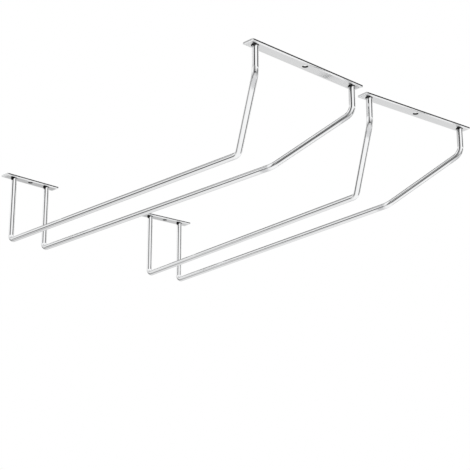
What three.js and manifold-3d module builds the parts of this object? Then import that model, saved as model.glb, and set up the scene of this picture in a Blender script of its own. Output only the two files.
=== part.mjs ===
// A pair of hanging stemware racks, chromed steel, for the underside of a cabinet or shelf.
// Each rack is two flat strips, front and rear, carried together by two bent wires whose long
// level runs are its rails. Every wire end is welded to the underside of a strip, and each
// strip has one punched screw hole in its middle.
// Millimetres, +Z up. X runs across the pair, Y from the front strips to the rear ones.
// The origin is on the surface that the strips are screwed to, midway between the two front
// strips and level with the left one's front edge, so everything hangs below z = 0.

import * as THREE from 'three';
import { mergeVertices } from 'three/addons/utils/BufferGeometryUtils.js';
import Module from 'manifold-3d';

const wasm = await Module();
wasm.setup();

// The strips
const stripWidth = 10;
const stripThickness = 1.5;
const frontStripOverhang = 7; // from a leg's centre line out to the strip's end
const rearStripOverhang = 10; // the same, from a riser
const rackDepth = 342; // front edge of the front strip to back edge of the rear one

// The screw hole punched in the middle of each strip
const holeDiameter = 4;

// The wires. A drop is measured down from the top of the strips to the wire's centre line.
const wireDiameter = 4.8;
const legSpacing = 98; // the two front legs, centre to centre
const railSpacing = 34; // the two rails, centre to centre
const legDrop = 22; // to the corner where a leg turns inwards
const railDrop = 58;
const slopeReach = 50; // how far behind its leg the sloping run meets the rail
const legBendRadius = 10;
const lowBendRadius = 10;
const riserBendRadius = 5;

// The ring of weld metal where a wire meets a strip
const weldLeg = 0.9;
const weldClearance = 0.2;

// The pair. Each rack is screwed up by itself, and the second one stands slightly turned
// about the middle of its front edge.
const rackGap = 10; // between the ends of the two front strips, before the turn
const secondRackTurn = -5.5 * THREE.MathUtils.DEG2RAD;

// How finely round things are faceted
const wireSides = 24;
const holeSides = 32;
const bendSteps = 8;
const fillSteps = 4;

// What a cutter runs past the faces that it cuts
const cutOverrun = 1;

const wireRadius = wireDiameter / 2;
const stripMiddle = stripWidth / 2;
const frontStripLength = legSpacing + 2 * frontStripOverhang;
const rearStripLength = railSpacing + 2 * rearStripOverhang;
const rackPitch = frontStripLength + rackGap;

const stripFinish = { color: 0xd3d5d8, roughness: 0.16, metalness: 1 };
const wireFinish = { color: 0xdfe1e4, roughness: 0.08, metalness: 1 };
const weldFinish = { color: 0x3c3c3f, roughness: 0.4, metalness: 1 };

function namedMesh(name, geometry, finish) {
  const mesh = new THREE.Mesh(geometry, new THREE.MeshStandardMaterial(finish));
  mesh.name = name;
  return mesh;
}

function toSolid(geometry) {
  const bare = geometry.clone();
  bare.deleteAttribute('normal');
  bare.deleteAttribute('uv');
  const merged = mergeVertices(bare);
  return new wasm.Manifold(new wasm.Mesh({
    numProp: 3,
    vertProperties: new Float32Array(merged.attributes.position.array),
    triVerts: new Uint32Array(merged.index.array),
  }));
}

function toGeometry(solid) {
  const { vertProperties, triVerts } = solid.getMesh();
  const geometry = new THREE.BufferGeometry();
  geometry.setAttribute('position', new THREE.BufferAttribute(vertProperties, 3));
  geometry.setIndex(new THREE.BufferAttribute(triVerts, 1));
  geometry.computeVertexNormals();
  return geometry;
}

// The hole's cutter, upright through the origin, for a strip whose top face is at z = 0
function holeCutter() {
  const height = stripThickness + 2 * cutOverrun;
  const cutter = new THREE.CylinderGeometry(holeDiameter / 2, holeDiameter / 2, height, holeSides);
  return cutter.rotateX(Math.PI / 2).translate(0, 0, -stripThickness / 2);
}

// A flat strip with its top face at z = 0, centred on x = 0, its middle line at y = middleY.
function strip(name, length, middleY) {
  const blank = new THREE.BoxGeometry(length, stripWidth, stripThickness);
  blank.translate(0, 0, -stripThickness / 2);
  const punched = toSolid(blank).subtract(toSolid(holeCutter()));
  const mesh = namedMesh(name, toGeometry(punched), stripFinish);
  mesh.position.y = middleY;
  return mesh;
}

// The centre line of a bent wire: straight runs through the given corners, rounded at each
// inner corner. A straight run needs no steps of its own, so the stations are the two ends
// and the points along each bend.
class BentWirePath extends THREE.Curve {
  constructor(corners, bendRadii) {
    super();
    const direction = (from, to) => corners[to].clone().sub(corners[from]).normalize();
    const last = corners.length - 1;
    this.stations = [{ point: corners[0], tangent: direction(0, 1) }];
    for (let i = 1; i < last; i += 1) {
      this.addBend(corners[i], direction(i - 1, i), direction(i, i + 1), bendRadii[i - 1]);
    }
    this.stations.push({ point: corners[last], tangent: direction(last - 1, last) });
    this.steps = this.stations.length - 1;
  }

  addBend(corner, before, after, radius) {
    const bendAngle = before.angleTo(after);
    const axis = before.clone().cross(after).normalize();
    const inward = axis.clone().cross(before);
    const start = corner.clone().addScaledVector(before, -radius * Math.tan(bendAngle / 2));
    const centre = start.clone().addScaledVector(inward, radius);
    for (let step = 0; step <= bendSteps; step += 1) {
      const turned = (bendAngle * step) / bendSteps;
      const point = start.clone().sub(centre).applyAxisAngle(axis, turned).add(centre);
      this.stations.push({ point, tangent: before.clone().applyAxisAngle(axis, turned) });
    }
  }

  stationAt(u) {
    return this.stations[Math.round(u * this.steps)];
  }

  getPointAt(u) {
    return this.stationAt(u).point.clone();
  }

  getTangentAt(u) {
    return this.stationAt(u).tangent.clone();
  }
}

function roundSection(radius, sides) {
  const points = [];
  for (let i = 0; i < sides; i += 1) {
    const angle = (i / sides) * 2 * Math.PI;
    points.push(new THREE.Vector2(radius * Math.cos(angle), radius * Math.sin(angle)));
  }
  return new THREE.Shape(points);
}

// One wire, bent from a single length: down from the front strip, in and back along the
// slope, level along the rail, and up to the rear strip. side is -1 on the left, 1 on the right.
function railWire(name, side) {
  const legX = (side * legSpacing) / 2;
  const railX = (side * railSpacing) / 2;
  const legY = stripMiddle;
  const riserY = rackDepth - stripMiddle;
  const corners = [
    new THREE.Vector3(legX, legY, -stripThickness),
    new THREE.Vector3(legX, legY, -legDrop),
    new THREE.Vector3(railX, legY + slopeReach, -railDrop),
    new THREE.Vector3(railX, riserY, -railDrop),
    new THREE.Vector3(railX, riserY, -stripThickness),
  ];
  const path = new BentWirePath(corners, [legBendRadius, lowBendRadius, riserBendRadius]);
  const geometry = new THREE.ExtrudeGeometry(roundSection(wireRadius, wireSides), {
    extrudePath: path,
    steps: path.steps,
  });
  return namedMesh(name, geometry, wireFinish);
}

// The weld ring round a wire's end: flat against the strip, hollow-faced, as long down the
// wire as it is wide. Its bore clears the wire's corners all round.
function weldRing(name, x, y) {
  const boreRadius = (wireRadius + weldClearance) / Math.cos(Math.PI / wireSides);
  const rimRadius = wireRadius + weldLeg;
  const face = [];
  for (let step = 0; step <= fillSteps; step += 1) {
    const angle = (Math.PI / 2) * (step / fillSteps);
    const across = rimRadius - (rimRadius - boreRadius) * Math.sin(angle);
    face.push(new THREE.Vector2(across, -weldLeg * (1 - Math.cos(angle))));
  }
  const profile = [...face.reverse(), new THREE.Vector2(boreRadius, 0), face.at(0)];
  const geometry = new THREE.LatheGeometry(profile, wireSides).rotateX(Math.PI / 2);
  const mesh = namedMesh(name, geometry, weldFinish);
  mesh.position.set(x, y, -stripThickness);
  return mesh;
}

function rack(name) {
  const group = new THREE.Group();
  const rearMiddle = rackDepth - stripMiddle;
  group.add(strip(`${name}_front_strip`, frontStripLength, stripMiddle));
  group.add(strip(`${name}_rear_strip`, rearStripLength, rearMiddle));
  for (const [hand, side] of [['left', -1], ['right', 1]]) {
    group.add(railWire(`${name}_${hand}_rail_wire`, side));
    group.add(weldRing(`${name}_front_${hand}_weld`, (side * legSpacing) / 2, stripMiddle));
    group.add(weldRing(`${name}_rear_${hand}_weld`, (side * railSpacing) / 2, rearMiddle));
  }
  return group;
}

const pair = new THREE.Group();

const leftRack = rack('left_rack');
leftRack.position.x = -rackPitch / 2;
pair.add(leftRack);

const rightRack = rack('right_rack');
rightRack.position.x = rackPitch / 2;
rightRack.rotation.z = secondRackTurn;
pair.add(rightRack);

export default pair;
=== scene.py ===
import math

import bpy
import numpy as np
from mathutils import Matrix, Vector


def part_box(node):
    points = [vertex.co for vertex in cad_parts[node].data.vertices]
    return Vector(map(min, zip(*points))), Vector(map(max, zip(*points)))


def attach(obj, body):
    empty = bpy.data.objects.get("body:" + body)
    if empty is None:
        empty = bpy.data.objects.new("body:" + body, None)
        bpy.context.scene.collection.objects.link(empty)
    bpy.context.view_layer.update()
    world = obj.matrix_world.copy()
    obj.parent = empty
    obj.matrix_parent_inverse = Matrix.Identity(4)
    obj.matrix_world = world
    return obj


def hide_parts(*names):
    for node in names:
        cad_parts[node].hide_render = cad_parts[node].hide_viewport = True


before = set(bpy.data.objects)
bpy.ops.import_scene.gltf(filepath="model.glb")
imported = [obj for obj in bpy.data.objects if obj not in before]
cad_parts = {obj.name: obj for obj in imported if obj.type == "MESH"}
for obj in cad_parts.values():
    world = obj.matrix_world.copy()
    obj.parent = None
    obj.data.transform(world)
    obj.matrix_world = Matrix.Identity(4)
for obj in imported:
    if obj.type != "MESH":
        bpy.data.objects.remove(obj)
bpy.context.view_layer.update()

# Strips
# Each rack is screwed up by two flat strips of steel, a long one over the mouth and a short one at
# the back. They are slit and sheared from sheet, which rolls their lower edges over, and punched in
# the middle for one screw. The chrome goes on last, over the whole rack.
strip_corner_radius = 0.0006
least_corner_radius = 0.00005
rolled_width = 0.0015
rolled_height = 0.0003
rolled_start_radius = 0.002
rolled_lead = 0.0005
lower_edge_radius = 0.0002
upper_edge_radius = 0.0001
edge_support = 0.0001
hole_radius = 0.002
hole_lip_radius = 0.0005
hole_burr_radius = 0.0001
strip_side_steps = 60
strip_end_steps = 10
strip_corner_steps = 8
edge_steps = 8
sharp_edge_degrees = 40


def middle(node):
    """The middle of a CAD node's box, dropped onto the mounting surface at z = 0."""
    low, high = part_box(node)
    return (np.array(low) + np.array(high)) / 2 * (1, 1, 0)


def placed(points, rack):
    """Points in a rack's own frame, taken to the shared one. A rack's own origin is on the mounting
    surface over the middle of its front strip, its y runs to the middle of its rear strip, z is up
    and x is the cross product of y and z."""
    origin = middle(f"{rack}_front_strip")
    along = middle(f"{rack}_rear_strip") - origin
    along = along / np.linalg.norm(along)
    upward = np.array([0, 0, 1])
    return origin + points @ np.array([np.cross(along, upward), along, upward])


def rounded_line(corners, radii, steps):
    """The line through the corners, rounded at each inner one. A corner that turns by b with radius
    r starts its arc r tan(b / 2) before the corner, and the arc's point at angle f is
    start + r sin(f) t + r (1 - cos(f)) n, with t the direction before and n square to it."""
    corners = np.array(corners)
    pieces = [corners[:1]]
    for before, corner, after, radius in zip(corners, corners[1:], corners[2:], radii):
        tangent = (corner - before) / np.linalg.norm(corner - before)
        onward = (after - corner) / np.linalg.norm(after - corner)
        turn = np.arccos(tangent @ onward)
        normal = (onward - tangent * np.cos(turn)) / np.sin(turn)
        angle = np.linspace(0, turn, steps + 1)[:, None]
        start = corner - radius * np.tan(turn / 2) * tangent
        pieces.append(start + radius * (np.sin(angle) * tangent + (1 - np.cos(angle)) * normal))
    return np.concatenate([*pieces, corners[-1:]])


def strip_outline(length, width):
    """The strip's outline seen from above, counter-clockwise, as a core rectangle and outward
    normals: the point at distance d is core + d normal, so each corner is an arc."""
    half = np.array([length, width]) / 2 - strip_corner_radius
    signs = np.array([[1, 1], [-1, 1], [-1, -1], [1, -1]])
    quarter = np.linspace(0, np.pi / 2, strip_corner_steps + 1)
    cores = []
    normals = []
    for index, (sign, after) in enumerate(zip(signs, np.roll(signs, -1, axis=0))):
        turn = quarter + index * np.pi / 2
        arc = np.stack([np.cos(turn), np.sin(turn)], axis=-1)
        steps = strip_side_steps if index % 2 == 0 else strip_end_steps
        share = np.linspace(0, 1, steps + 1)[1:-1, None]
        cores += [np.repeat([half * sign], len(arc), axis=0), half * (sign + share * (after - sign))]
        normals += [arc, np.repeat(arc[-1:], len(share), axis=0)]
    return np.concatenate(cores), np.concatenate(normals)


def strip_rings(length, width, thickness):
    """The strip as rings that run round its hole, and how far each point is down the bore, from 0
    to 1. The inner rings are circles, whose angle at each outline point is that of the point with
    the strip squashed to a square. The rings go down the bore, out over the lower face, up the
    slope of the rolled edge and back over the top face. Where they lie further in than the corners
    are round, the corners stay as sharp as they may be and the core shrinks."""
    core, normal = strip_outline(length, width)
    bore = rounded_line(
        [
            [hole_radius + hole_burr_radius + edge_support, 0],
            [hole_radius, 0],
            [hole_radius, -thickness],
            [hole_radius + hole_lip_radius + edge_support, -thickness],
        ],
        [hole_burr_radius, hole_lip_radius],
        edge_steps,
    )
    edge = rounded_line(
        [
            [strip_corner_radius - rolled_width - rolled_lead, -thickness],
            [strip_corner_radius - rolled_width, -thickness],
            [strip_corner_radius, rolled_height - thickness],
            [strip_corner_radius, 0],
            [strip_corner_radius - upper_edge_radius - edge_support, 0],
        ],
        [rolled_start_radius, lower_edge_radius, upper_edge_radius],
        edge_steps,
    )
    reach = np.maximum(edge[:, 0], least_corner_radius)[:, None, None]
    shrink = (reach - edge[:, 0, None, None]) / core.max(axis=0)
    outline = core + strip_corner_radius * normal
    angle = np.arctan2(outline[:, 1] * length / width, outline[:, 0])
    circle = np.stack([np.cos(angle), np.sin(angle)], axis=-1)
    inner = bore[:, None, :1] * circle
    outer = core * (1 - shrink) + reach * normal
    heights = np.concatenate([bore[:, 1], edge[:, 1]])
    level = np.concatenate([inner, outer])
    height = np.broadcast_to(heights[:, None, None], (*level.shape[:2], 1))
    from_wall = np.linalg.norm(level, axis=-1) - hole_radius
    return np.concatenate([level, height], axis=-1), np.clip(1 - from_wall / hole_lip_radius, 0, 1)


def ring_mesh(name, rings, looped, **fields):
    """A closed mesh of rings of points, rings[i, j] being place j round ring i. Each ring is joined
    to the next by quads. Looped, the last ring joins the first again, and otherwise a fan of
    triangles round its own middle closes each end ring. Faces that meet at a wider angle than the
    given one show an edge. Each field is an array of values for the rings' points, kept as a
    vertex attribute."""
    count, sides = rings.shape[:2]
    start = (np.arange(count if looped else count - 1) * sides)[:, None]
    beyond = (start + sides) % (count * sides)
    side = np.arange(sides)
    after = (side + 1) % sides
    quads = np.stack([start + side, start + after, beyond + after, beyond + side], axis=-1)
    faces = quads.reshape(-1, 4).tolist()
    layers = {"position": rings, **fields}
    values = {key: layer.reshape(count * sides, -1) for key, layer in layers.items()}
    if not looped:
        last = (count - 1) * sides
        ends = np.full(sides, count * sides)
        faces += np.stack([ends, after, side], axis=-1).tolist()
        faces += np.stack([ends + 1, last + side, last + after], axis=-1).tolist()
        for key, layer in layers.items():
            middles = layer[[0, -1]].reshape(2, sides, -1).mean(axis=1)
            values[key] = np.concatenate([values[key], middles])
    mesh = bpy.data.meshes.new(name)
    mesh.from_pydata(values.pop("position"), [], faces)
    mesh.shade_smooth()
    mesh.set_sharp_from_angle(angle=math.radians(sharp_edge_degrees))
    for key, value in values.items():
        kind, slot = ("FLOAT_VECTOR", "vector") if value.shape[1] == 3 else ("FLOAT", "value")
        layer = mesh.attributes.new(key, kind, "POINT")
        layer.data.foreach_set(slot, value.astype(np.float32).ravel())
    piece = bpy.data.objects.new(name, mesh)
    bpy.context.scene.collection.objects.link(piece)
    return piece


class Shade:
    """A socket in a tree of shader nodes. Arithmetic on it adds Math nodes, and add() any other."""

    def __init__(self, tree, socket=None):
        self.tree = tree
        self.socket = socket

    def add(self, kind, settings=(), inputs=(), output=0):
        """A new node of that kind: its settings are set first, then each input gets a value or a
        link, and the named output comes back."""
        node = self.tree.nodes.new(kind)
        for name, value in dict(settings).items():
            setattr(node, name, value)
        for name, value in dict(inputs).items():
            if isinstance(value, Shade):
                self.tree.links.new(value.socket, node.inputs[name])
            else:
                node.inputs[name].default_value = value
        return Shade(self.tree, node.outputs[output] if node.outputs else None)

    def math(self, operation, *others):
        """A Math node on this and the others."""
        return self.add("ShaderNodeMath", {"operation": operation}, enumerate((self, *others)))

    def __add__(self, other):
        return self.math("ADD", other)

    def __sub__(self, other):
        return self.math("SUBTRACT", other)

    def __rsub__(self, other):
        return self.add("ShaderNodeMath", {"operation": "SUBTRACT"}, {0: other, 1: self})

    def __mul__(self, other):
        return self.math("MULTIPLY", other)

    def __truediv__(self, other):
        return self.math("DIVIDE", other)

    def __abs__(self):
        return self.math("ABSOLUTE")

    __radd__ = __add__
    __rmul__ = __mul__

    def stretched(self, scale):
        """This vector times a scale for each axis."""
        return self.add("ShaderNodeVectorMath", {"operation": "MULTIPLY"}, {0: self, 1: scale})

    def noise(self, scale, detail=2.0, roughness=0.5):
        """Fractal noise at this vector stretched by the scale, from 0 to 1 and mostly about 0.5."""
        inputs = {"Vector": self.stretched(scale), "Scale": 1.0, "Detail": detail}
        return self.add("ShaderNodeTexNoise", (), {**inputs, "Roughness": roughness})

    def between(self, low, high):
        """A smooth step of this value, 0 below low and 1 above high."""
        inputs = {"Value": self, "From Min": low, "From Max": high}
        return self.add("ShaderNodeMapRange", {"interpolation_type": "SMOOTHSTEP"}, inputs)

    def mixed(self, first, second):
        """The first colour where this is 0 and the second where it is 1."""
        inputs = {0: self, 6: first, 7: second}
        return self.add("ShaderNodeMix", {"data_type": "RGBA"}, inputs, 2)

    def bumped(self, distance):
        """A normal from this height, which is in units of the distance."""
        return self.add("ShaderNodeBump", (), {"Height": self, "Distance": distance})


def new_material(name):
    """A material with an empty tree, and a Shade on that tree."""
    material = bpy.data.materials.new(name)
    material.use_nodes = True
    material.node_tree.nodes.clear()
    return material, Shade(material.node_tree)


def metal(shade, colour, roughness, normal):
    """Ends a material with a metallic surface of this colour, roughness and normal."""
    inputs = {"Base Color": colour, "Roughness": roughness, "Metallic": 1.0, "Normal": normal}
    surface = shade.add("ShaderNodeBsdfPrincipled", (), inputs)
    shade.add("ShaderNodeOutputMaterial", (), {"Surface": surface})


def strip_chrome():
    """Chrome over rolled strip: the rolling lines run along it, the flat is a little wavy and the
    plating clouds here and there. Inside the punched hole it hardly took, and the bore is painted
    near black there: thin plating and painted shade in the hole."""
    dull = (0.84, 0.845, 0.85, 1)
    bright = (0.94, 0.945, 0.95, 1)
    bare_bore_and_painted_shade = (0.03, 0.03, 0.032, 1)
    line_scale = (60, 4000, 4000)
    haze_scale = (90, 160, 160)
    wave_scale = (45, 110, 110)
    bore_start_share = 0.3
    line_share = 0.5
    least_haze = 0.35
    most_haze = 0.7
    bright_roughness = 0.07
    haze_roughness = 0.06
    bore_roughness = 0.3
    line_height_share = 0.05
    wave_height = 0.00002
    material, shade = new_material("strip_chrome")
    place = shade.add("ShaderNodeAttribute", {"attribute_name": "rolled"}, (), "Vector")
    bore = shade.add("ShaderNodeAttribute", {"attribute_name": "bore"}, (), "Fac")
    lines = place.noise(line_scale, detail=3.0)
    haze = place.noise(haze_scale, detail=3.0)
    waves = place.noise(wave_scale, detail=1.0)
    down_bore = bore.between(bore_start_share, 1.0)
    plating = (haze * (1 - line_share) + lines * line_share).mixed(dull, bright)
    # Down the bore the colour goes near black: painted shade in the hole, over thin plating.
    colour = down_bore.mixed(plating, bare_bore_and_painted_shade)
    clouding = haze.between(least_haze, most_haze) * haze_roughness
    roughness = clouding + bright_roughness + down_bore * bore_roughness
    height = waves + lines * line_height_share
    metal(shade, colour, roughness, height.bumped(wave_height))
    return material


strip_finish = strip_chrome()
for rack in ("left_rack", "right_rack"):
    for end in ("front", "rear"):
        node = f"{rack}_{end}_strip"
        low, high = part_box(f"left_rack_{end}_strip")
        rings, bore = strip_rings(*(high - low))
        setback = np.linalg.norm(middle(node) - middle(f"{rack}_front_strip"))
        place = placed(rings + np.array([0, setback, 0]), rack)
        strip = ring_mesh(f"{node}_plated", place, True, rolled=rings, bore=bore)
        strip.data.materials.append(strip_finish)
        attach(strip, "root")
        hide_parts(node)

# Rail wires
# Each rack has two wires of drawn steel, bent in three places: down from the front strip, in and
# back along a slope, level along the rail and up to the rear strip. They are welded to the
# strips by their ends and chromed bright. Use rubs a haze along the tops of the level runs.
wire_radius = 0.0024
leg_drop = 0.022
slope_reach = 0.050
bend_radii = (0.010, 0.010, 0.005)
bend_steps = 18
run_step = 0.004
wire_sides = 48
flattening_share = 0.02
bend_haze_reach = 0.006
bend_haze_shift = 0.006


def wire_stations(corners):
    """Stations along a wire that is straight between the corners and rounded at the inner ones:
    the place, two unit vectors square to the wire, the length so far, and for each bend the
    length to its middle and its outward direction at every station. In a bend that turns by b the
    direction at angle f is cos(f) t + sin(f) n, and a vector v square to the run before it becomes
    v + (v . n) (n' - n), with n' = cos(f) n - sin(f) t. Outwards is -n'."""
    run = (corners[1] - corners[0]) / np.linalg.norm(corners[1] - corners[0])
    sideways = np.array([1.0, 0, 0])
    square = np.array([sideways, np.cross(run, sideways)])
    places = [corners[:1]]
    squares = [square[None]]
    turnings = []
    reached = corners[0]
    for before, corner, after, radius in zip(corners, corners[1:], corners[2:], bend_radii):
        tangent = (corner - before) / np.linalg.norm(corner - before)
        onward = (after - corner) / np.linalg.norm(after - corner)
        turn = np.arccos(tangent @ onward)
        normal = (onward - tangent * np.cos(turn)) / np.sin(turn)
        start = corner - radius * np.tan(turn / 2) * tangent
        steps = math.ceil(np.linalg.norm(start - reached) / run_step)
        places.append(np.linspace(reached, start, steps + 1)[1:-1])
        squares.append(np.repeat(square[None], steps - 1, axis=0))

        angle = np.linspace(0, turn, bend_steps + 1)[:, None]
        turned = np.cos(angle) * normal - np.sin(angle) * tangent
        turnings.append((sum(map(len, places)), turned))
        places.append(start + radius * (np.sin(angle) * tangent + (1 - np.cos(angle)) * normal))
        squares.append(square[None] + (square @ normal)[None, :, None] * (turned - normal)[:, None])
        square = squares[-1][-1]
        reached = places[-1][-1]
    steps = math.ceil(np.linalg.norm(corners[-1] - reached) / run_step)
    places.append(np.linspace(reached, corners[-1], steps + 1)[1:])
    squares.append(np.repeat(square[None], steps, axis=0))
    place = np.concatenate(places)
    gone = np.concatenate([[0], np.cumsum(np.linalg.norm(np.diff(place, axis=0), axis=1))])
    bends = []
    for first, turned in turnings:
        index = np.clip(np.arange(len(place)) - first, 0, bend_steps)
        bends.append((gone[first : first + bend_steps + 1].mean(), -turned[index]))
    return place, np.concatenate(squares), gone, bends


def wire_rings(corners, rail_height):
    """Rings round a bent wire and their fields. The point at angle a of a station is
    place + r (cos(a) first + sin(a) second). The field bent is the cosine to a bend's outward
    side times exp(-(length from a little past the bend's middle / reach)^2), and r is less by a
    small share of it, as the wire is drawn flat there. The field drawn is the same point on the
    wire before it was bent: length so far, r cos(a), r sin(a). The field rubbed is the cosine to
    straight up, on the level run alone."""
    place, squares, gone, bends = wire_stations(corners)
    angle = np.arange(wire_sides) / wire_sides * 2 * np.pi
    circle = np.stack([np.cos(angle), np.sin(angle)], axis=-1)
    spokes = np.einsum("jk,ikm->ijm", circle, squares)
    bent = np.zeros(spokes.shape[:2])
    for bend_middle, outward in bends:
        outside = np.clip(np.einsum("ijm,im->ij", spokes, outward), 0, None)
        beyond = (gone - bend_middle - bend_haze_shift) / bend_haze_reach
        bent += outside * np.exp(-(beyond**2))[:, None]
    radius = wire_radius * (1 - flattening_share * bent)
    rings = place[:, None] + radius[..., None] * spokes
    lengths = np.broadcast_to(gone[:, None, None], (*radius.shape, 1))
    drawn = np.concatenate([lengths, radius[..., None] * circle], axis=-1)
    level = np.isclose(place[:, 2], rail_height)[:, None]
    rubbed = np.where(level, np.clip(spokes[..., 2], 0, None), 0)
    return rings, {"drawn": drawn, "rubbed": rubbed, "bent": bent}


def wire_chrome():
    """Bright chrome over drawn wire: fine lines along it, a shallow ripple in the plating, a darker
    haze on the outside of the bends, which is partly strain and partly painted shade, and scratches
    along the top of the rail."""
    dull = (0.88, 0.885, 0.89, 1)
    bright = (0.95, 0.955, 0.96, 1)
    strained_and_shaded = (0.7, 0.705, 0.715, 1)
    line_scale = (40, 3500, 3500)
    cloud_scale = (60, 180, 180)
    ripple_scale = (70, 260, 260)
    scratch_scale = (250, 5000, 5000)
    pit_scale = (900, 900, 900)
    least_scratch = 0.55
    most_scratch = 0.75
    rubbed_start_share = 0.8
    raggedness = 0.4
    least_strain = 0.3
    most_strain = 0.9
    least_cloud = 0.4
    most_cloud = 0.7
    bright_roughness = 0.05
    cloud_roughness = 0.04
    strain_roughness = 0.2
    scratch_roughness = 0.18
    ripple_share = 3.0
    line_share = 0.06
    pit_share = 0.3
    relief_height = 0.00002
    material, shade = new_material("wire_chrome")
    place = shade.add("ShaderNodeAttribute", {"attribute_name": "drawn"}, (), "Vector")
    rubbed = shade.add("ShaderNodeAttribute", {"attribute_name": "rubbed"}, (), "Fac")
    bent = shade.add("ShaderNodeAttribute", {"attribute_name": "bent"}, (), "Fac")
    lines = place.noise(line_scale, detail=3.0)
    cloud = place.noise(cloud_scale, detail=3.0)
    ripple = place.noise(ripple_scale, detail=1.0)
    on_top = rubbed.between(rubbed_start_share, 1.0)
    scratches = place.noise(scratch_scale).between(least_scratch, most_scratch) * on_top
    haze = (bent + cloud * raggedness - raggedness / 2).between(least_strain, most_strain)
    clouding = cloud.between(least_cloud, most_cloud) * cloud_roughness
    dulling = haze * strain_roughness + scratches * scratch_roughness
    roughness = clouding + bright_roughness + dulling
    pits = haze * place.noise(pit_scale)
    height = ripple * ripple_share + lines * line_share + pits * pit_share
    # Past each bend's middle the colour goes to a darker grey: painted shade, over a real strain
    # haze.
    colour = haze.mixed(cloud.mixed(dull, bright), strained_and_shaded)
    metal(shade, colour, roughness, height.bumped(relief_height))
    return material


wire_finish = wire_chrome()
rack_depth = np.linalg.norm(middle("left_rack_rear_strip") - middle("left_rack_front_strip"))
wire_low, wire_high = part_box("left_rack_right_rail_wire")
rack_middle = middle("left_rack_front_strip")[0]
leg_across = wire_high.x - wire_radius - rack_middle
rail_across = wire_low.x + wire_radius - rack_middle
rail_height = wire_low.z + wire_radius
strip_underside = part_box("left_rack_front_strip")[0].z
for rack in ("left_rack", "right_rack"):
    for hand, side in (("left", -1), ("right", 1)):
        corners = np.array([
            [side * leg_across, 0, strip_underside],
            [side * leg_across, 0, -leg_drop],
            [side * rail_across, slope_reach, rail_height],
            [side * rail_across, rack_depth, rail_height],
            [side * rail_across, rack_depth, strip_underside],
        ])
        rings, fields = wire_rings(corners, rail_height)
        wire = ring_mesh(f"{rack}_{hand}_rail_wire_plated", placed(rings, rack), False, **fields)
        wire.data.materials.append(wire_finish)
        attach(wire, "root")
        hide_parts(f"{rack}_{hand}_rail_wire")

# Welds
# Each wire end is butted against the underside of a strip and welded from its left, so that the
# bead is full there and thins out round the wire. It is uneven and near black: scorched under a
# plating that hardly took, and painted shade and painted dark reflection where wire meets strip.
weld_leg = 0.0006
weld_bite = 0.00015
weld_face_steps = 10
weld_sides = 72
weld_unevenness_share = 0.1
weld_full_side_degrees = 190
weld_thin_share = 0.6
weld_leg_power = 2
weld_run_power = 10
weld_waves = 3
weld_least_wave = 2
weld_most_wave = 8
front_weld_run_share = 1.5
rear_weld_run_share = 4


def weld_rings(run_share, seed):
    """Rings that run round a wire's end, down the buried back of the bead, over its full face and
    in along its buried top. The face at angle f is a quarter ellipse about the corner of wire and
    strip: across = wire radius + leg sin(f), down = run cos(f). With h half the cosine to the full
    side plus a half, the leg falls from that side to the other by a low power of h, and a few
    sines of whole numbers of waves swell it. The run is the leg times its share at the full side,
    and falls to the leg itself by a high power of h."""
    generator = np.random.default_rng(seed)
    around = np.arange(weld_sides) / weld_sides * 2 * np.pi
    waves = generator.integers(weld_least_wave, weld_most_wave + 1, weld_waves)[:, None]
    phases = generator.uniform(0, 2 * np.pi, weld_waves)[:, None]
    swell = 1 - weld_unevenness_share * (1 + np.sin(waves * around + phases).mean(axis=0))
    full = 0.5 + 0.5 * np.cos(around - math.radians(weld_full_side_degrees))
    leg = weld_leg * swell * (weld_thin_share + (1 - weld_thin_share) * full**weld_leg_power)
    run = leg * (1 + (run_share - 1) * full**weld_run_power)
    turn = np.linspace(0, np.pi / 2, weld_face_steps + 1)[:, None]
    across = wire_radius + leg * np.sin(turn)
    height = -run * np.cos(turn)
    inner = np.full_like(across[:1], wire_radius - weld_bite)
    top = np.full_like(inner, weld_bite)
    across = np.concatenate([inner, inner, across, across[-1:]])[..., None]
    height = np.concatenate([top, height[:1], height, top])[..., None]
    circle = np.stack([np.cos(around), np.sin(around)], axis=-1)
    return np.concatenate([across * circle, height], axis=-1)


def weld_metal():
    """A thinly plated weld, painted near black as scorch and as painted shade where wire meets
    strip:
    dull and rippled, with a finer grain on top.
    """
    # Both weld colours are near black: painted shade and painted dark reflection at the joint, over
    # a real scorch.
    scorched_and_shaded = (0.004, 0.004, 0.0045, 1)
    plated = (0.08, 0.08, 0.082, 1)
    grain_scale = (1500, 1500, 1500)
    scorch_scale = (500, 500, 500)
    grain_share = 0.3
    least_plating = 0.4
    most_plating = 0.8
    least_roughness = 0.3
    grain_roughness = 0.2
    scorch_height_share = 2.0
    grain_height = 0.00008
    material, shade = new_material("weld_metal")
    place = shade.add("ShaderNodeTexCoord", (), (), "Object")
    grain = place.noise(grain_scale, detail=4.0, roughness=0.6)
    scorch = place.noise(scorch_scale)
    took = (scorch * (1 - grain_share) + grain * grain_share).between(least_plating, most_plating)
    roughness = grain * grain_roughness + least_roughness
    height = grain + scorch * scorch_height_share
    metal(shade, took.mixed(scorched_and_shaded, plated), roughness, height.bumped(grain_height))
    return material


weld_finish = weld_metal()
weld_seats = (
    ("front_left", -leg_across, 0, front_weld_run_share),
    ("front_right", leg_across, 0, front_weld_run_share),
    ("rear_left", -rail_across, rack_depth, rear_weld_run_share),
    ("rear_right", rail_across, rack_depth, rear_weld_run_share),
)
for rack in ("left_rack", "right_rack"):
    for seed, (corner, across, back, run_share) in enumerate(weld_seats):
        seat = np.array([across, back, strip_underside])
        place = placed(weld_rings(run_share, seed) + seat, rack)
        bead = ring_mesh(f"{rack}_{corner}_weld_bead", place, True)
        bead.data.materials.append(weld_finish)
        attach(bead, "root")
        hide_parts(f"{rack}_{corner}_weld")

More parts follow.
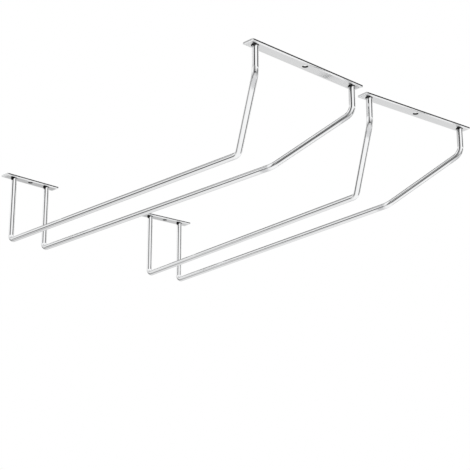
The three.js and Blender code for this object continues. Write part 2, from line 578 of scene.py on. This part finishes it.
# Studio
# A white tent with dark flags round it, which give chrome its dark lines, a pale floor at the
# height of a worktop, and one wide soft lamp over it. The camera itself sees the tent as white.
# The floor is clear from below, so that a view from under it shows the racks too, and neither it
# nor the lamp shows in the chrome.
floor_drop = 0.457
floor_radius = 1.6
floor_fade_start_share = 0.5
floor_fade_end_share = 0.95
floor_thickness = 0.02
floor_sides = 96
floor_grey = (0.9, 0.9, 0.9, 1)
lamp_place = (-0.7, -0.5, 1.3)
lamp_target = (0, 0.17, 0)
lamp_size = 1.4
lamp_power = 9.0
tent_light = 0.75
# Azimuth from +Y towards +X, elevation, half width, half height and softness in degrees, and the
# share of light that the flag takes.
flags = (
    (-108, 24, 24, 7, 4, 0.85),
    (-98, 0, 14, 31, 5, 0.85),
    (-129, -4, 13, 19, 5, 0.85),
    (139, 25, 20, 10, 2, 0.97),
    (139, -6, 20, 15, 3, 0.85),
    (-12, -13, 15, 23, 12, 0.85),
    (-44, -12, 10, 14, 3, 0.87),
    (-22, 38, 20, 6, 4, 0.6),
    (20, 56, 23, 26, 6, 0.85),
    (97, -22, 8, 26, 5, 0.8),
    (-40, 58, 25, 5, 4, 0.8),
    (-118, -24, 66, 4, 2, 0.95),
    (-145, -25, 75, 20, 10, 0.35),
    (40, -8, 26, 26, 8, 0.25),
    (33, -16, 8, 5, 2, 0.35),
    (10, -40, 25, 12, 8, 0.1),
    (60, 22, 25, 8, 4, 0.6),
    (-41, 27, 7, 3, 1, 0.6),
    (-20, 22, 50, 2, 1, 0.4),
)

turn = np.arange(floor_sides) / floor_sides * 2 * np.pi
levels = np.array([-floor_drop, -floor_drop - floor_thickness])[:, None]
disc = floor_radius * np.stack([np.cos(turn), -np.sin(turn)])
rings = np.stack(np.broadcast_arrays(*disc, levels), axis=-1)
floor = ring_mesh("floor", rings, False)
floor.visible_glossy = False

material, shade = new_material("pale_floor")
place = shade.add("ShaderNodeTexCoord", (), (), "Object").stretched((1, 1, 0))
distance = shade.add("ShaderNodeVectorMath", {"operation": "LENGTH"}, {0: place}, "Value")
facing = shade.add("ShaderNodeNewGeometry", (), (), "Normal")
underneath = shade.add("ShaderNodeSeparateXYZ", (), {0: facing}, "Z").math("LESS_THAN", 0.0)
fade_start = floor_fade_start_share * floor_radius
fade_end = floor_fade_end_share * floor_radius
fade = distance.between(fade_start, fade_end).math("MAXIMUM", underneath)
matt = shade.add("ShaderNodeBsdfDiffuse", (), {"Color": floor_grey})
clear = shade.add("ShaderNodeBsdfTransparent")
surface = shade.add("ShaderNodeMixShader", (), {0: fade, 1: matt, 2: clear})
shade.add("ShaderNodeOutputMaterial", (), {"Surface": surface})
floor.data.materials.append(material)

lamp_data = bpy.data.lights.new("soft_lamp", "AREA")
lamp_data.shape = "DISK"
lamp_data.size = lamp_size
lamp_data.energy = lamp_power
lamp = bpy.data.objects.new("soft_lamp", lamp_data)
lamp.location = lamp_place
aim_x, aim_y, aim_z = np.array(lamp_target) - np.array(lamp_place)
lamp.rotation_euler = (math.atan2(math.hypot(aim_x, aim_y), -aim_z), 0, math.atan2(-aim_x, aim_y))
lamp.visible_glossy = False
bpy.context.scene.collection.objects.link(lamp)

world = bpy.data.worlds.new("tent")
world.use_nodes = True
world.node_tree.nodes.clear()
bpy.context.scene.world = world
tent = Shade(world.node_tree)
gaze = tent.add("ShaderNodeTexCoord", (), (), "Generated")
gaze_x, gaze_y, gaze_z = (tent.add("ShaderNodeSeparateXYZ", (), {0: gaze}, axis) for axis in "XYZ")
level_length = (gaze_x * gaze_x + gaze_y * gaze_y).math("SQRT")
elevation = gaze_z.math("ARCSINE")
brightness = 1
for heading, height, *sizes, taken in flags:
    half_width, half_height, softness = map(math.radians, sizes)
    heading = math.radians(heading)
    facing = (gaze_x * math.sin(heading) + gaze_y * math.cos(heading)) / level_length
    aside = facing.math("MINIMUM", 1.0).math("ARCCOSINE")
    above = abs(elevation - math.radians(height))
    clear_aside = aside.between(half_width - softness, half_width + softness)
    clear_above = above.between(half_height - softness, half_height + softness)
    brightness = brightness * (1 - (1 - clear_aside) * (1 - clear_above) * taken)
seen_by_camera = tent.add("ShaderNodeLightPath", (), (), "Is Camera Ray")
seen_in_metal = tent.add("ShaderNodeLightPath", (), (), "Is Glossy Ray")
lighting = (1 - seen_by_camera) * (1 - seen_in_metal) * tent_light
strength = seen_by_camera + seen_in_metal * brightness + lighting
background = tent.add("ShaderNodeBackground", (), {"Color": (1, 1, 1, 1), "Strength": strength})
tent.add("ShaderNodeOutputWorld", (), {"Surface": background})

bpy.context.scene.view_settings.view_transform = "Standard"

# Camera
# It stands in front of the left rack's mouth, to the left of it and below the rails, and looks
# up at the undersides. Its lens is a short telephoto one.
camera_place = (-0.65559, -0.54743, -0.37846)
camera_azimuth = -43.64
camera_elevation = -17.39
camera_lens = 97.06
camera_sensor = 36.0

camera_data = bpy.data.cameras.new("camera")
camera_data.lens = camera_lens
camera_data.sensor_width = camera_sensor
camera_data.sensor_fit = "HORIZONTAL"
camera = bpy.data.objects.new("camera", camera_data)
camera.location = camera_place
camera.rotation_euler = (math.radians(90 - camera_elevation), 0, math.radians(camera_azimuth))
bpy.context.scene.collection.objects.link(camera)
bpy.context.scene.camera = camera
